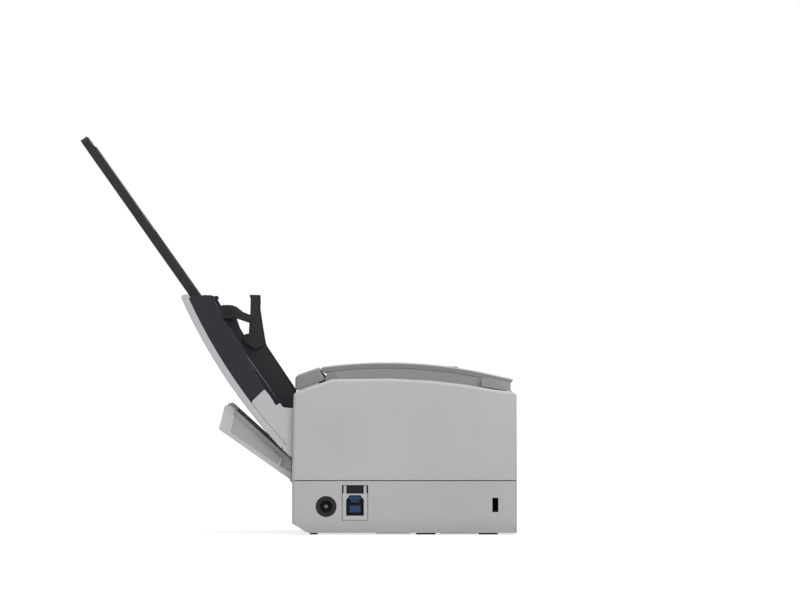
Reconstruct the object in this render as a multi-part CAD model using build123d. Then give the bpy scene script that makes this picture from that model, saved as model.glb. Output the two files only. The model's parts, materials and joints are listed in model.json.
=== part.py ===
from build123d import *
import math
import os

os.makedirs("parts", exist_ok=True)

# Document scanner with an upright feeder lid, a top cover and a rear door.
# Millimetres. X runs along the width, the front faces -Y and +Z is up.
# Side outlines are (y, z) pairs measured from the middle of the casing, at floor level.
# Every piece is moved by ORIGIN_SHIFT when it is written, so that the origin is
# under the middle of the whole object as it stands open.

# Driving dimensions
CASE_WIDTH = 296.0
CASE_DEPTH = 105.0
FOOT_PROUD = 0.75
SEAM_Z = 25.0
WALL = 2.4
FILLET = 1.6
SLIDE_GAP = 0.5
RUN_GAP = 0.05

# Side covers and the block between them
CHEEK_THICK = 4.5
BLOCK_WIDTH = CASE_WIDTH - 80.0
FRAME_THICK = 1.2
FRAME_GAP = 0.5
CHEEK_TOP = [
    (51.8, 65.3), (50.3, 66.7), (33.8, 72.5), (6.8, 72.8), (-12.4, 71.8),
    (-27.8, 70.0), (-41.5, 67.7), (-50.6, 66.6), (-52.3, 65.3),
]

# Feeder lid, side outlines as it stands open
LID_AXIS = (33.2, 60.4)
LID_WIDTH = CASE_WIDTH - 2 * (CHEEK_THICK + SLIDE_GAP)
LID_SKIN = 3.1
LID_TIP = (104.6, 111.3)
LID_MIDDLE = (80.6, 68.7)
LID_FOOT = (57.5, 40.0)
SLOPE = 54.8
ARM_THICK = 5.5
BAND_WIDTH = 22.0
BAND_INNER = LID_WIDTH / 2 - BAND_WIDTH
BAND_FRONT = [(88.7, 108.9), (87.1, 106.1), (84.5, 100.3), (76.2, 88.2), (65.4, 67.8)]
BAND_KNOB = (89.7, 110.4, 1.1)
BAND_CAP = [(100.7, 110.5), (96.1, 111.4), (92.8, 111.9), (90.6, 111.3)]
BAND_CUT = (71.6, 62.6)

# Extension boards in the lid
BOARD_THICK = 4.2
BOARD_TOP = (100.75, 110.95)
BOARD_VISIBLE = 90.0
FRAME_WIDTH = 104.0
FRAME_LENGTH = 57.0
FRAME_LEG = 9.0
SLIDER_LENGTH = 56.0
TRAY_FLOOR = 1.2
BOARD_GAP = 0.3

# Side guides and stacker
GUIDE_INNER = BLOCK_WIDTH / 2 + 3.5
GUIDE_THICK = 2.5
GUIDE_TRAVEL = GUIDE_INNER - 27.5
POST_THICK = 3.0
BRACE_THICK = 2.2
PLANE_GAP = 0.4
POST_PIVOT = (73.5, 91.3)
BRACE_PIVOT = (82.7, 103.7)
PIVOT_PIN = 1.2

# Rear door
DOOR_AXIS = (52.0, 25.6)
DOOR_WIDTH = CASE_WIDTH - 28.0
DOOR_WALL = 2.2
DOOR_PIN = 0.9
DOOR_HUB = 1.6
DOOR_POD_GAP = 0.5

# Paper path inside
PATH_Z = 27.0
PATH_GAP = 1.0
TURN_CENTRE = (-20.0, 46.8)
TURN_RADIUS = 19.8
TOP_RUN_Z = TURN_CENTRE[1] + TURN_RADIUS

# Rollers: (y, z, radius)
FEED = (33.0, 37.4, 10.0)
SEPARATION = (33.0, 19.1, 7.4)
TRANSPORT_REAR = (18.0, 19.5, 7.0)
TRANSPORT_FRONT = (-14.5, 18.5, 8.2)
EXIT = (12.0, 58.8, 7.5)
PINCH_REAR = (18.0, 32.3, 5.0)
PINCH_FRONT = (-14.5, 32.8, 5.5)
PINCH_EXIT = (12.0, 71.0, 4.0)
SHAFT_RADIUS = 3.0
THIN_SHAFT = 1.8
GEAR_RADIUS = 8.0
FEED_GEAR = 7.5
EXIT_GEAR = 5.5
PINION_RADIUS = 4.0
STEP_GEAR = 5.0
GEAR_TEETH_GAP = 0.3
GEAR_WIDTH = 4.0
MOTOR_RADIUS = 14.0
MOTOR_LENGTH = 20.0

# Top cover
TOP_AXIS = (-45.4, 69.0)
TOP_PLATE = 2.3
TOP_PLATE_WIDTH = BLOCK_WIDTH + 0.4
TOP_ARC = [(39.0, 77.7), (4.0, 79.75), (-35.4, 75.45), (-50.9, 72.0)]
TOP_FRONT = -49.5
BUTTON_RADIUS = 5.5
BUTTON_HEIGHT = 3.4

# Ports on the left side: (y, z)
JACK = (36.6, 13.1)
JACK_OUTER = 4.8
JACK_BORE = 2.9
JACK_PIN = 0.9
JACK_DEPTH = 10.0
USB_CENTRE = (23.1, 13.6)
USB_WIDTH = 8.4
USB_HEIGHT = 9.8
USB_RECESS = [(29.2, 6.6), (17.0, 6.6), (17.0, 23.1), (29.2, 23.1)]
LOCK_CENTRE = (-42.4, 13.85)
LOCK_SIZE = (2.8, 6.7)

HALF_WIDTH = CASE_WIDTH / 2
HALF_DEPTH = CASE_DEPTH / 2
CHEEK_INNER = HALF_WIDTH - CHEEK_THICK
BLOCK_HALF = BLOCK_WIDTH / 2
FRAME_INNER = BLOCK_HALF + FRAME_GAP
FRAME_OUTER = FRAME_INNER + FRAME_THICK
LID_HALF = LID_WIDTH / 2
DIRECTION = (math.cos(math.radians(SLOPE)), math.sin(math.radians(SLOPE)))
ACROSS = (-DIRECTION[1], DIRECTION[0])
OPEN_REACH = BOARD_TOP[0] + DIRECTION[0] * BOARD_VISIBLE
ORIGIN_SHIFT = (HALF_DEPTH - OPEN_REACH) / 2

# Casing details
FOOT_LENGTH = 26.0
FOOT_SINK = 0.8
FOOT_GAP = 0.1
FOOT_SIDE = HALF_WIDTH - 20.0
FOOT_ROWS = ((-39.05, 9.1), (-9.95, 9.1), (42.4, 3.6))
CHAMFER = [(44.4, FOOT_PROUD), (45.9, 1.1), (HALF_DEPTH, 5.2)]
FLOOR_RIBS = ((-33.8, -16.6), (-2.6, 13.1))
FLOOR_RIB_DEPTH = 0.3
LIP = 2.4
CORNER_TOP = 34.0
SCREW_BOSS = 4.0
SCREW_RADIUS = 1.5
SCREW_HEAD = 2.9
SCREW_GAP = 0.1
SCREW_PLACES = [(x, y) for x in (8.0 - BLOCK_HALF, BLOCK_HALF - 8.0) for y in (-36, 32)]
CHASSIS_Z = 6.0
CHASSIS_THICK = 1.0
CHASSIS_TOP = CHASSIS_Z + CHASSIS_THICK
CHASSIS_WING = 5.0
BASE_FLOOR = 2.4
FRAME_TOP = 64.8
SCREW_SINK = 1.6
PIN_RADIUS = 2.5
FRONT_TOP = 66.0
SHELF_TOP = FRONT_TOP - 3.5
SLOT_LOW = 25.6
SLOT_HIGH = 30.4
SLOT_HALF = BLOCK_HALF + 4.0
WELL_Z = 54.0
WELL_THICK = 1.8

# Frame details
FRAME_EDGE = [
    (40.0, FRAME_TOP), (37.2, FRAME_TOP), (37.0, 73.0), (36.3, 75.4), (33.0, 75.6), (30.5, 72.0),
    (30.5, FRAME_TOP), (-41.0, 62.0), (-41.0, 71.0), (-47.5, 71.0), (-47.5, 40.0), (-48.5, 38.0),
]
BUSH_RADIUS = 4.4
TOP_PIN = 1.9
HINGE_CHEEK = [(-49.7, 66.9), (-49.7, 71.0), (-40.0, 73.0), (-36.0, 73.0), (-36.0, 69.0)]
HINGE_CHEEK_THICK = 1.2
BRACKET_X = BLOCK_HALF + 16.0
BRACKET_THICK = 2.0

# Lid, guide and stacker details
FLOOR_ACROSS = BOARD_THICK + 2 * BOARD_GAP + TRAY_FLOOR
FLOOR_FOOT = 71.0
RACK_DEPTH = 2.2
RACK_WIDTH = 3.2
RACK_PINION = 3.0
RACK_UP = 63.6
RACK_OFFSET = 5.0
RACK_LOW = 2.2
POCKET_LOW = 1.8
POCKET_HALF = 6.9
GUIDE_LIFT = 0.35
GUIDE_FRONT = [(65.5, 87.7), (51.4, 66.6), (52.3, 58.3)]
GUIDE_STRIP = [(85.6, 105.4), (80.0, 101.1), (78.4, 96.4), (75.7, 91.7), (72.5, 92.0), (66.8, 91.0)]
POST_OUTLINE = [
    (75.0, 89.9), (75.4, 92.0), (72.9, 93.2), (72.6, 98.5), (72.2, 102.1), (72.0, 110.1), (72.6, 111.9),
    (68.6, 111.9), (68.4, 108.7), (68.6, 105.6), (67.3, 96.7), (65.9, 88.6), (70.0, 86.5),
]
BRACE_OUTLINE = [
    (87.1, 103.8), (87.1, 106.3), (84.9, 107.2), (82.2, 107.1), (80.0, 106.3), (76.9, 103.8),
    (71.9, 101.8), (71.8, 98.7), (73.0, 98.9), (79.8, 101.2), (80.9, 100.9), (84.5, 100.5),
]
LEG_GAP = 0.3
ARM_EDGE = [(65.4, 67.8), (62.7, 64.5), (60.0, 60.1), (58.2, 61.4), (56.7, 59.3), (52.3, 58.9)]
ARM_FOOT = [(51.4, 36.2), (53.2, 36.2), (57.2, 39.75), (55.15, 42.05)]

# Door outlines
DOOR_OUTLINE = [
    (53.5, 25.7), (86.8, 49.1), (84.0, 60.1), (81.9, 60.6), (80.9, 60.0), (79.2, 58.5), (80.0, 55.9),
    (57.1, 35.3), (58.3, 31.9), (52.6, 28.8), (52.6, 33.6), (52.2, 33.7), (50.9, 31.0), (51.0, 26.6),
]
DOOR_RECESS = [(59.4, 32.7), (81.2, 47.6), (79.0, 56.5), (57.0, 36.5)]
DOOR_RECESS_DEPTH = 0.5
LINER_SIDE = [(53.2, 29.4), (55.0, 29.8), (80.6, 47.9), (80.6, 59.7), (53.0, 34.8)]
LINER_SIDE_THICK = 1.2
DOOR_INSIDE = [(51.0, 28.2), (55.0, 29.5), (84.6, 50.4), (82.2, 58.9), (80.0, 64.0), (45.0, 34.0)]
LINER_THICK = 1.6
LINER_GAP = 0.03
LINER_Y = (55.6, 80.6)

# Paper path details
POD_UNDER = [(51.1, 67.0), (36.6, 72.1)]
POD_WALL = 1.8
ROLLER_HALF = BLOCK_HALF - 8.0
RIB_STEP = (BLOCK_HALF - 18.0) / 2
SENSOR_Y = (-5.2, 9.8)
SENSOR_HALF = BLOCK_HALF - 2.0
SENSOR_HEIGHT = 12.0
UPPER_SENSOR_TOP = PATH_Z + 0.6 + 12.0 + 0.4
GLASS_THICK = 1.2

# Drive details
GEAR_X = FRAME_OUTER + 1.2
SECOND_GEAR_X = GEAR_X + GEAR_WIDTH + 0.6
STEP_PIN = 1.5
PINION_PLACE = (TRANSPORT_FRONT[0] - 8.7, TRANSPORT_FRONT[1] + 8.7)
MOTOR_FACE = GEAR_X + GEAR_WIDTH + 1.6

# Top cover details
BUTTON_X = (BLOCK_HALF - 42.0, BLOCK_HALF - 20.0)
BUTTON_Y = -20.0
LAMP_X = BLOCK_HALF - 31.0
LAMP_SIZE = (3.0, 9.0)
COVER_FLOOR = TOP_RUN_Z + PATH_GAP
UPPER_WALL = 2.0

# Board and socket details
BOARD_Z = 8.0
BOARD_THICKNESS = 1.6
BOARD_EDGE = -HALF_WIDTH + WALL + 1.0
BOARD_INNER = -BRACKET_X - BRACKET_THICK - 1.5
USB_MOUTH_Z = (USB_CENTRE[1] - USB_HEIGHT / 2, USB_CENTRE[1] + USB_HEIGHT / 2)
USB_SHELL = 0.6
LOCK_PLATE_THICK = 1.6


def prism(outline, x_low, x_high):
    """A solid along X from a closed outline of (y, z) points."""
    face = make_face(Polyline(*outline, close=True))
    return extrude(Plane.YZ.offset(x_low) * face, amount=x_high - x_low)


def rod(centre, radius, x_low, x_high):
    """A round bar along X about (y, z)."""
    bar = Cylinder(radius, x_high - x_low, align=(Align.CENTER, Align.CENTER, Align.MIN))
    return Plane.YZ.offset(x_low) * Pos(centre[0], centre[1], 0) * bar


def upright(x, y, z_low, z_high, radius):
    """A round bar along Z."""
    bar = Cylinder(radius, z_high - z_low, align=(Align.CENTER, Align.CENTER, Align.MIN))
    return Pos(x, y, z_low) * bar


def block(x_low, x_high, y_low, y_high, z_low, z_high):
    """A rectangular block between six limits."""
    box = Box(x_high - x_low, y_high - y_low, z_high - z_low)
    return Pos((x_low + x_high) / 2, (y_low + y_high) / 2, (z_low + z_high) / 2) * box


def mirrored(piece):
    """The same piece on the other side."""
    return mirror(piece, about=Plane.YZ)


def save(name, *solids):
    """Writes one or more separate solids as one node."""
    moved = [Pos(0, ORIGIN_SHIFT, 0) * solid for piece in solids for solid in piece.solids()]
    shape = moved[0] if len(moved) == 1 else Compound(children=moved)
    export_step(shape, f"parts/{name}.step")


def along(start, distance, across=0.0):
    """A point some way up the lid's slope from start, and some way towards the front of it."""
    y = start[0] + DIRECTION[0] * distance + ACROSS[0] * across
    z = start[1] + DIRECTION[1] * distance + ACROSS[1] * across
    return (y, z)


def circle_points(centre, radius, start, end, count):
    """Points on an arc, from one angle to another."""
    angles = [math.radians(start + (end - start) * i / (count - 1)) for i in range(count)]
    return [(centre[0] + radius * math.cos(a), centre[1] + radius * math.sin(a)) for a in angles]


def arc_centre(a, b, c):
    """The centre of the circle through three points."""
    d = 2 * (a[0] * (b[1] - c[1]) + b[0] * (c[1] - a[1]) + c[0] * (a[1] - b[1]))
    sa = a[0] ** 2 + a[1] ** 2
    sb = b[0] ** 2 + b[1] ** 2
    sc = c[0] ** 2 + c[1] ** 2
    y = (sa * (b[1] - c[1]) + sb * (c[1] - a[1]) + sc * (a[1] - b[1])) / d
    z = (sa * (c[0] - b[0]) + sb * (a[0] - c[0]) + sc * (b[0] - a[0])) / d
    return (y, z)


def curved_strip(a, b, c, thickness, x_low, x_high):
    """A strip of even thickness whose outer side passes a, b and c, thickened towards the centre."""
    centre = arc_centre(a, b, c)
    outer = math.dist(a, centre)
    inner = outer - thickness

    def drawn_in(point):
        share = inner / outer
        return (centre[0] + (point[0] - centre[0]) * share, centre[1] + (point[1] - centre[1]) * share)

    edges = [
        ThreePointArc(a, b, c),
        Line(c, drawn_in(c)),
        ThreePointArc(drawn_in(c), drawn_in(b), drawn_in(a)),
        Line(drawn_in(a), a),
    ]
    face = make_face(edges)
    return extrude(Plane.YZ.offset(x_low) * face, amount=x_high - x_low)


def meeting(a, reach_a, b, reach_b):
    """The point at two given distances from a and b, on the left of the line from a to b."""
    span = math.dist(a, b)
    along_line = (reach_a ** 2 - reach_b ** 2 + span ** 2) / (2 * span)
    off_line = math.sqrt(reach_a ** 2 - along_line ** 2)
    uy = (b[0] - a[0]) / span
    uz = (b[1] - a[1]) / span
    return (a[0] + uy * along_line - uz * off_line, a[1] + uz * along_line + uy * off_line)


# Casing


def base_casing():
    floor_z = FOOT_PROUD
    outline = [(-HALF_DEPTH, floor_z)] + CHAMFER + [(HALF_DEPTH, SEAM_Z), (-HALF_DEPTH, SEAM_Z)]
    inside = [
        (-HALF_DEPTH + WALL, floor_z + BASE_FLOOR),
        (CHAMFER[0][0] - 0.5, floor_z + BASE_FLOOR),
        (HALF_DEPTH - WALL, CHAMFER[-1][1] + BASE_FLOOR),
        (HALF_DEPTH - WALL, SEAM_Z + 1),
        (-HALF_DEPTH + WALL, SEAM_Z + 1),
    ]
    shell = prism(outline, -HALF_WIDTH, HALF_WIDTH)
    shell = fillet(shell.edges().filter_by(Axis.Z), FILLET)
    shell -= prism(inside, -HALF_WIDTH + WALL, HALF_WIDTH - WALL)
    rib_reach = FOOT_SIDE + FOOT_LENGTH / 2 + 4.0
    for low, high in FLOOR_RIBS:
        shell += block(-rib_reach, rib_reach, low, high, floor_z - FLOOR_RIB_DEPTH, floor_z + 0.1)
    for x, y in SCREW_PLACES:
        post = upright(x, y, floor_z, CHASSIS_Z, SCREW_BOSS)
        hole = upright(x, y, floor_z - 1, CHASSIS_Z + 1, SCREW_RADIUS + SCREW_GAP)
        sink = upright(x, y, floor_z - 1, floor_z + SCREW_SINK, SCREW_HEAD + 0.3)
        shell = shell + post - hole - sink
    for x in (-FOOT_SIDE, FOOT_SIDE):
        for y, width in FOOT_ROWS:
            reach = (FOOT_LENGTH / 2 + FOOT_GAP, width / 2 + FOOT_GAP)
            shell -= block(x - reach[0], x + reach[0], y - reach[1], y + reach[1], 0, floor_z + FOOT_SINK)
    side = DOOR_WIDTH / 2
    for x in (-side - 4, side + 0.4):
        shell += rod(DOOR_AXIS, DOOR_HUB, x, x + 3.6)
        shell -= rod(DOOR_AXIS, DOOR_PIN + 0.02, x - 1, x + 5)
    for x in (-side - 0.4, side - DOOR_WALL - 0.4):
        shell -= block(x, x + DOOR_WALL + 0.8, 49, 54, DOOR_AXIS[1] - DOOR_HUB - 0.3, SEAM_Z + 3)
    wall = -HALF_WIDTH
    shell -= rod(JACK, JACK_OUTER + 0.1, wall - 1, wall + WALL + 1)
    low, high = USB_RECESS[1], USB_RECESS[3]
    shell -= block(wall - 1, wall + WALL + 1, low[0], high[0], low[1], high[1])
    half_y, half_z = LOCK_SIZE[0] / 2, LOCK_SIZE[1] / 2
    y, z = LOCK_CENTRE
    return shell - block(wall - 1, wall + WALL + 1, y - half_y, y + half_y, z - half_z, z + half_z)


def rubber_feet():
    feet = []
    for x in (-FOOT_SIDE, FOOT_SIDE):
        for y, width in FOOT_ROWS:
            reach = (FOOT_LENGTH / 2, width / 2)
            foot = block(x - reach[0], x + reach[0], y - reach[1], y + reach[1], 0, FOOT_PROUD + FOOT_SINK)
            feet.append(fillet(foot.edges().filter_by(Axis.Z), 1.2))
    return feet


def casing_screws():
    screws = []
    for x, y in SCREW_PLACES:
        head = upright(x, y, FOOT_PROUD + 0.3, FOOT_PROUD + SCREW_SINK, SCREW_HEAD)
        shank = upright(x, y, FOOT_PROUD + 0.4, CHASSIS_TOP + 1.4, SCREW_RADIUS)
        cross = Pos(x, y, FOOT_PROUD) * (Box(3.4, 0.8, 1.6) + Box(0.8, 3.4, 1.6))
        screws.append(head + shank - cross)
    return screws


def side_cover():
    """The right side cover: a shallow pan with a lip all round, open towards the inside."""
    outline = [(-HALF_DEPTH, SEAM_Z), (HALF_DEPTH, SEAM_Z)] + CHEEK_TOP
    cover = prism(outline, CHEEK_INNER, HALF_WIDTH)
    outer = cover.faces().sort_by(Axis.X)[-1]
    cover = fillet(outer.edges().filter_by(lambda e: e.center().Z > SEAM_Z + 1), FILLET)
    top = [(HALF_DEPTH - LIP, 62.6), (33.4, 70.0), (6.8, 70.4), (-12.2, 69.4)]
    top += [(-27.5, 67.6), (-41.2, 65.3), (-HALF_DEPTH + LIP, 63.9)]
    pocket = [(-HALF_DEPTH + LIP, SEAM_Z + LIP), (HALF_DEPTH - LIP, SEAM_Z + LIP)] + top
    cover -= prism(pocket, CHEEK_INNER - 1, HALF_WIDTH - WALL)
    boss = rod(LID_AXIS, PIN_RADIUS + 3, CHEEK_INNER, HALF_WIDTH - WALL)
    hole = rod(LID_AXIS, PIN_RADIUS + RUN_GAP, CHEEK_INNER - 1, HALF_WIDTH - WALL - 0.5)
    corner_x = DOOR_WIDTH / 2 + SLIDE_GAP
    corner = block(corner_x, CHEEK_INNER, HALF_DEPTH - WALL, HALF_DEPTH, DOOR_AXIS[1] + 2.4, CORNER_TOP)
    return cover + boss - hole + corner


def front_cover():
    front = -HALF_DEPTH + 0.3
    cover = block(-CHEEK_INNER, CHEEK_INNER, front, front + WALL, SEAM_Z, FRONT_TOP)
    back = TURN_CENTRE[0] - TURN_RADIUS - 3.5
    cover += block(-CHEEK_INNER, CHEEK_INNER, front, back, SHELF_TOP - WALL, SHELF_TOP)
    cover -= block(-BLOCK_HALF - 3, BLOCK_HALF + 3, front + WALL, 0, 0, FRONT_TOP + 1)
    top_edges = cover.edges().filter_by(Axis.X).group_by(Axis.Z)[-1]
    cover = fillet(top_edges.sort_by(Axis.Y)[0], 1.2)
    cover -= block(-SLOT_HALF, SLOT_HALF, front - 1, front + WALL + 1, SLOT_LOW, SLOT_HIGH)
    upper = [(front - 1, SLOT_HIGH - 0.1), (front - 1, SLOT_HIGH + 1.8), (front + WALL, SLOT_HIGH - 0.1)]
    return cover - prism(upper, -SLOT_HALF, SLOT_HALF)


def side_well():
    """The right well beside the block: a floor that hides the works, with a rim down the frame plate."""
    front = TURN_CENTRE[0] - TURN_RADIUS - 3.0
    rear = LID_AXIS[0] - 15.0
    outer = CHEEK_INNER - 0.1
    arch_end = SECOND_GEAR_X + GEAR_WIDTH + 1.0
    centre, radius = step_gear_places()[3]
    floor = block(FRAME_OUTER + 0.1, outer, front, rear, WELL_Z, WELL_Z + WELL_THICK)
    gear_arch = rod(centre, radius + 1.0, FRAME_OUTER, arch_end)
    exit_arch = rod(EXIT[:2], EXIT_GEAR + 1.0, FRAME_OUTER, arch_end)
    wall = block(CHEEK_INNER - 2.0, outer, front, rear, WELL_Z - 12.0, WELL_Z)
    front_wall = block(BLOCK_HALF + 3.2, outer, front - WELL_THICK, front, WELL_Z, SHELF_TOP - WALL)
    return floor + wall + front_wall - gear_arch - exit_arch


# Frame


def chassis_plate():
    half = FRAME_OUTER + CHASSIS_WING
    plate = block(-half, half, -46, 42, CHASSIS_Z, CHASSIS_TOP)
    for x, y in SCREW_PLACES:
        plate -= Pos(x, y, CHASSIS_Z) * Cylinder(SCREW_RADIUS + 0.1, 4)
    return plate


def frame_plate():
    """The right frame plate, a steel sheet with holes for every shaft."""
    plate = prism([(-48.5, CHASSIS_TOP), (40.0, CHASSIS_TOP)] + FRAME_EDGE, FRAME_INNER, FRAME_OUTER)
    for y, z, _ in (FEED, SEPARATION, TRANSPORT_REAR, TRANSPORT_FRONT, EXIT):
        plate -= rod((y, z), BUSH_RADIUS, FRAME_INNER - 1, FRAME_OUTER + 1)
    for y, z, _ in (PINCH_REAR, PINCH_FRONT):
        plate -= rod((y, z), THIN_SHAFT + RUN_GAP, FRAME_INNER - 1, FRAME_OUTER + 1)
    plate -= rod(TOP_AXIS, TOP_PIN + RUN_GAP, FRAME_INNER - 1, FRAME_OUTER + 1)
    window = [(-33.0, 36.0), (-5.0, 56.0), (-33.0, 56.0)]
    return plate - prism(window, FRAME_INNER - 1, FRAME_OUTER + 1)


def frame_flange():
    outer = FRAME_OUTER + CHASSIS_WING - 0.5
    return block(FRAME_OUTER, outer, -40, 34, CHASSIS_TOP, CHASSIS_TOP + FRAME_THICK)


def shaft_bushes():
    """Flanged bushes in both frame plates, one at each driven shaft's end."""
    bushes = []
    for y, z, _ in (FEED, SEPARATION, TRANSPORT_REAR, TRANSPORT_FRONT, EXIT):
        bush = rod((y, z), BUSH_RADIUS - 0.02, FRAME_INNER, FRAME_OUTER)
        bush += rod((y, z), BUSH_RADIUS + 1.0, FRAME_OUTER, FRAME_OUTER + 0.8)
        bush -= rod((y, z), SHAFT_RADIUS + RUN_GAP, FRAME_INNER - 1, FRAME_OUTER + 2)
        bushes += [bush, mirrored(bush)]
    return bushes


def hinge_bracket():
    """The right hinge bracket: a steel post from the base floor to the lid's hinge pin."""
    y, z = LID_AXIS
    low = FOOT_PROUD + BASE_FLOOR
    head = circle_points(LID_AXIS, 5.0, 0, 180, 9)
    plate = prism([(y - 14, low), (y + 5, low)] + head + [(y - 5, 40)], BRACKET_X, BRACKET_X + BRACKET_THICK)
    foot = block(BRACKET_X - 8, BRACKET_X, y - 14, y + 5, low, low + BRACKET_THICK)
    return plate + foot - rod(LID_AXIS, PIN_RADIUS + 0.02, BRACKET_X - 1, BRACKET_X + BRACKET_THICK + 1)


def hinge_pin():
    pin = rod(LID_AXIS, PIN_RADIUS, BRACKET_X - 1.5, HALF_WIDTH - WALL - 0.8)
    return pin + rod(LID_AXIS, PIN_RADIUS + 1.5, BRACKET_X - 3, BRACKET_X)


# Feeder lid


LID_CENTRE = arc_centre(LID_TIP, LID_MIDDLE, LID_FOOT)
LID_OUTER = math.dist(LID_TIP, LID_CENTRE)
LID_INNER = LID_OUTER - LID_SKIN


def skin_inner(z_target):
    """A point on the skin's inner side at some height."""
    rise = z_target - LID_CENTRE[1]
    return (LID_CENTRE[0] + math.sqrt(LID_INNER ** 2 - rise ** 2), z_target)


def lid_skin():
    skin = curved_strip(LID_TIP, LID_MIDDLE, LID_FOOT, LID_SKIN, -LID_HALF, LID_HALF)
    tip = skin.edges().filter_by(Axis.X).filter_by(lambda e: e.center().Z > 100)
    return fillet(tip, 1.2)


def tray_profile_side():
    inner = [skin_inner(z) for z in (64.0, 70.0, 76.0, 82.0, 88.0, 94.0, 100.0, 105.0, 108.6)]
    return inner + BAND_CAP + BAND_FRONT + [BAND_CUT]


def chute_tray():
    side = prism(tray_profile_side(), BAND_INNER, LID_HALF - 0.4)
    side += rod(BAND_KNOB[:2], BAND_KNOB[2], BAND_INNER, LID_HALF - 0.4)
    heights = (44.5, 50.0, 56.0, 62.0, 68.0, 74.0, 80.0, 86.0, 92.0, 98.0, 104.0, 108.6)
    inner = [skin_inner(z) for z in heights]
    top = [(99.2, 110.9), along(BOARD_TOP, -3.2, FLOOR_ACROSS)]
    foot = along(BOARD_TOP, -FLOOR_FOOT, FLOOR_ACROSS)
    centre = prism(inner + top + [foot], -BAND_INNER, BAND_INNER)
    tray = centre + side + mirrored(side)
    gap = BOARD_GAP
    slot = [
        along(BOARD_TOP, 6, -gap),
        along(BOARD_TOP, 6, BOARD_THICK + gap),
        along(BOARD_TOP, -FRAME_LENGTH - 0.8, BOARD_THICK + gap),
        along(BOARD_TOP, -FRAME_LENGTH - 0.8, -gap),
    ]
    half = FRAME_WIDTH / 2 + gap
    tray -= prism(slot, -half, half)
    pocket = [
        along(BOARD_TOP, -RACK_UP + POCKET_HALF, POCKET_LOW),
        along(BOARD_TOP, -RACK_UP + POCKET_HALF, FLOOR_ACROSS - TRAY_FLOOR),
        along(BOARD_TOP, -RACK_UP - POCKET_HALF, FLOOR_ACROSS - TRAY_FLOOR),
        along(BOARD_TOP, -RACK_UP - POCKET_HALF, POCKET_LOW),
    ]
    tray -= prism(pocket, -BAND_INNER + 2, BAND_INNER - 2)
    for middle, low, high in rack_slots():
        corners = [(middle - 1.5, 4.0), (middle + 1.5, 4.0), (middle + 1.5, 9.0), (middle - 1.5, 9.0)]
        cut = [along(BOARD_TOP, up, depth) for up, depth in corners]
        tray -= prism(cut, low, high)
    pin = along(BOARD_TOP, -RACK_UP)
    return tray + pinion_bar(pin, 1.2, POCKET_LOW - 0.5, FLOOR_ACROSS - 0.2)


def rack_slots():
    """Where each guide's foot passes the tray floor: the place up the slope and the X limits."""
    near = GUIDE_INNER - GUIDE_TRAVEL - 1
    far = GUIDE_INNER + GUIDE_THICK + 1
    return [(-RACK_UP + RACK_OFFSET, near, far), (-RACK_UP - RACK_OFFSET, -far, -near)]


def pinion_bar(point, radius, low, high):
    """A bar square to the chute at a point, between two depths."""
    start = (0, point[0] + ACROSS[0] * low, point[1] + ACROSS[1] * low)
    plane = Plane(origin=start, z_dir=(0, ACROSS[0], ACROSS[1]))
    return plane * Cylinder(radius, high - low, align=(Align.CENTER, Align.CENTER, Align.MIN))


def guide_pinion():
    centre = along(BOARD_TOP, -RACK_UP)
    wheel = pinion_bar(centre, RACK_PINION, RACK_LOW, RACK_LOW + RACK_DEPTH)
    return wheel - pinion_bar(centre, 1.2 + RUN_GAP, 1, 9)


def rack(middle, x_low, x_high):
    half = RACK_WIDTH / 2
    high = RACK_LOW + RACK_DEPTH
    corners = [(middle - half, RACK_LOW), (middle + half, RACK_LOW), (middle + half, high), (middle - half, high)]
    return prism([along(BOARD_TOP, up, depth) for up, depth in corners], x_low, x_high)


def side_guide(middle):
    """The right side guide: a tall plate on the chute with a foot and a rack under the floor."""
    top = along(BOARD_TOP, -7.0, FLOOR_ACROSS + GUIDE_LIFT)
    bottom = along(BOARD_TOP, -FLOOR_FOOT + 2.6, FLOOR_ACROSS + GUIDE_LIFT)
    outline = [top] + GUIDE_STRIP + GUIDE_FRONT + [bottom]
    plate = prism(outline, GUIDE_INNER, GUIDE_INNER + GUIDE_THICK)
    corners = [(middle - 1.1, 4.0), (middle + 1.1, 4.0), (middle + 1.1, 9.0), (middle - 1.1, 9.0)]
    web = [along(BOARD_TOP, up, depth) for up, depth in corners]
    plate += prism(web, GUIDE_INNER, GUIDE_INNER + GUIDE_THICK)
    plate += rack(middle, -6, GUIDE_INNER + GUIDE_THICK)
    post_hub = rod(POST_PIVOT, 2.4, GUIDE_INNER, GUIDE_INNER + GUIDE_THICK)
    brace_hub = rod(BRACE_PIVOT, 3.2, GUIDE_INNER, GUIDE_INNER + GUIDE_THICK)
    post_pin = rod(POST_PIVOT, PIVOT_PIN, GUIDE_INNER, GUIDE_INNER + GUIDE_THICK + PLANE_GAP + POST_THICK)
    reach = GUIDE_INNER + GUIDE_THICK + 2 * PLANE_GAP + POST_THICK + BRACE_THICK
    brace_pin = rod(BRACE_PIVOT, PIVOT_PIN, GUIDE_INNER, reach)
    return plate + post_hub + brace_hub + post_pin + brace_pin


def stacker_post():
    low = GUIDE_INNER + GUIDE_THICK + PLANE_GAP
    post = prism(POST_OUTLINE, low, low + POST_THICK)
    return post - rod(POST_PIVOT, PIVOT_PIN + RUN_GAP, low - 1, low + POST_THICK + 1)


def stacker_brace():
    low = GUIDE_INNER + GUIDE_THICK + 2 * PLANE_GAP + POST_THICK
    arm = prism(BRACE_OUTLINE, low, low + BRACE_THICK)
    return arm - rod(BRACE_PIVOT, PIVOT_PIN + RUN_GAP, low - 1, low + BRACE_THICK + 1)


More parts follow.
